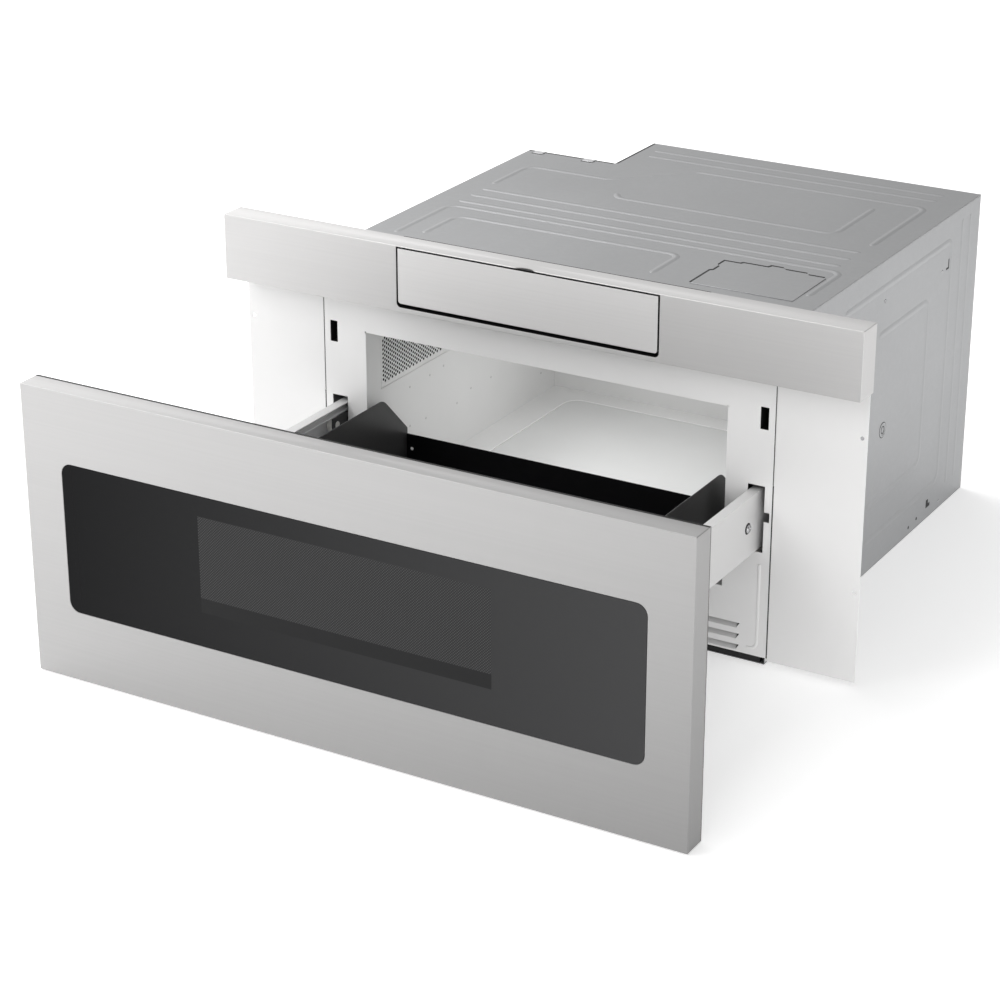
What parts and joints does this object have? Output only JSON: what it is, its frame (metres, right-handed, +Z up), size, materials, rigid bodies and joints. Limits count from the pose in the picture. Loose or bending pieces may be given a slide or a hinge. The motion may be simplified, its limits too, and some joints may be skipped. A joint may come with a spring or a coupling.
{
  "type": "microwave drawer",
  "caption": "Built-in drawer microwave oven: a stainless door on roller slides with an open tray, under a control bar with a hidden tilting panel, in a ribbed sheet-metal case.",
  "frame": {"origin": "middle of the case's underside, in the plane where the flanges meet the cabinet's face", "axes": "+X to the right seen from the front, +Y to the back, +Z up; the drawer opens towards -Y"},
  "size_m": [0.759, 0.9507, 0.4021],
  "materials": {
    "stainless": "brushed, horizontal grain",
    "white_paint": "satin white",
    "galvanised": "dull zinc sheet",
    "oven_enamel": "light grey acrylic paint",
    "black_paint": "satin black",
    "black_plastic": "fine grain",
    "grey_plastic": "fine grain",
    "window_glass": "dark printed glass",
    "clear_glass": "clear",
    "ceramic": "smooth glass ceramic",
    "dark_mesh": "perforated black sheet",
    "zinc_steel": "bright zinc plate",
    "dark_rail": "black phosphate",
    "nylon": "white nylon",
    "rubber": "moulded",
    "aluminium": "mill finish",
    "core_steel": "varnished laminations",
    "circuit_board": "solder mask",
    "screw_steel": "plated",
    "key_glass": "black key panel"
  },
  "bodies": {
    "case": {"base_pan": "galvanised", "base_trim": "black_plastic", "left_side_panel": "galvanised", "right_side_panel": "galvanised", "top_cover": "galvanised", "access_plate": "galvanised", "rear_panel": "galvanised", "cord_gland": "rubber", "front_frame": "white_paint", "left_flange": "white_paint", "right_flange": "white_paint", "control_bar": "stainless", "bar_carrier": "zinc_steel", "control_housing": "black_plastic", "cavity_liner": "oven_enamel", "vent_screen": "oven_enamel", "floor_plate": "ceramic", "waveguide": "galvanised", "magnetron": "aluminium", "power_transformer": "core_steel", "fan_housing": "black_plastic", "antenna_motor": "zinc_steel", "antenna_well": "oven_enamel", "drive_gearmotor": "black_plastic", "left_rail_mount": "galvanised", "right_rail_mount": "galvanised", "left_fixed_rail": "dark_rail", "right_fixed_rail": "dark_rail", "latch_switches": "black_plastic", "oven_lamp": "galvanised", "power_board": "circuit_board", "case_screws": "screw_steel"},
    "drawer": {"door_skin": "stainless", "door_glass": "window_glass", "door_frame": "black_paint", "door_screen": "dark_mesh", "door_back_cover": "black_plastic", "inner_window": "clear_glass", "left_arm": "white_paint", "right_arm": "white_paint", "left_moving_rail": "zinc_steel", "right_moving_rail": "zinc_steel", "tray_left_side": "black_paint", "tray_right_side": "black_paint", "tray_base": "black_paint", "tray_glass": "ceramic", "drive_rack": "grey_plastic", "latch_hooks": "grey_plastic", "arm_screws": "screw_steel"},
    "control_panel": {"panel_cover": "stainless", "panel_housing": "black_plastic", "key_panel": "key_glass"},
    "left_nose_roller": {"left_nose_roller": "nylon"},
    "right_nose_roller": {"right_nose_roller": "nylon"},
    "left_tail_roller": {"left_tail_roller": "nylon"},
    "right_tail_roller": {"right_tail_roller": "nylon"},
    "drive_pinion": {"drive_pinion": "nylon"},
    "antenna": {"antenna_rotor": "aluminium"},
    "fan": {"fan_impeller": "grey_plastic"}
  },
  "joints": [
    {"name": "drawer_slide", "type": "slide", "parent": "case", "child": "drawer", "axis": [0, -1, 0], "range_m": [-0.3577, 0]},
    {"name": "control_panel_tilt", "type": "hinge", "parent": "case", "child": "control_panel", "pos_m": [0, -0.0305, 0.3415], "axis": [1, 0, 0], "range_deg": [0, 45]},
    {"name": "left_nose_roller_spin", "type": "hinge", "parent": "case", "child": "left_nose_roller", "pos_m": [-0.2505, -0.0215, 0.1756], "axis": [1, 0, 0], "continuous": true},
    {"name": "right_nose_roller_spin", "type": "hinge", "parent": "case", "child": "right_nose_roller", "pos_m": [0.2505, -0.0215, 0.1756], "axis": [1, 0, 0], "continuous": true},
    {"name": "left_tail_roller_spin", "type": "hinge", "parent": "drawer", "child": "left_tail_roller", "pos_m": [-0.2505, 0.066, 0.1619], "axis": [1, 0, 0], "continuous": true},
    {"name": "right_tail_roller_spin", "type": "hinge", "parent": "drawer", "child": "right_tail_roller", "pos_m": [0.2505, 0.066, 0.1619], "axis": [1, 0, 0], "continuous": true},
    {"name": "pinion_spin", "type": "hinge", "parent": "case", "child": "drive_pinion", "pos_m": [0.253, 0.024, 0.12], "axis": [1, 0, 0], "continuous": true},
    {"name": "antenna_spin", "type": "hinge", "parent": "case", "child": "antenna", "pos_m": [0, 0.286, 0.067], "axis": [0, 0, 1], "continuous": true},
    {"name": "fan_spin", "type": "hinge", "parent": "case", "child": "fan", "pos_m": [0.092, 0.486, 0.098], "axis": [1, 0, 0], "continuous": true}
  ],
  "couplings": [
    {"joint": "left_nose_roller_spin", "follows": "drawer_slide", "rad_per_m": 106.38},
    {"joint": "right_nose_roller_spin", "follows": "drawer_slide", "rad_per_m": 106.38},
    {"joint": "left_tail_roller_spin", "follows": "drawer_slide", "rad_per_m": -106.38},
    {"joint": "right_tail_roller_spin", "follows": "drawer_slide", "rad_per_m": -106.38},
    {"joint": "pinion_spin", "follows": "drawer_slide", "rad_per_m": 83.333}
  ]
}
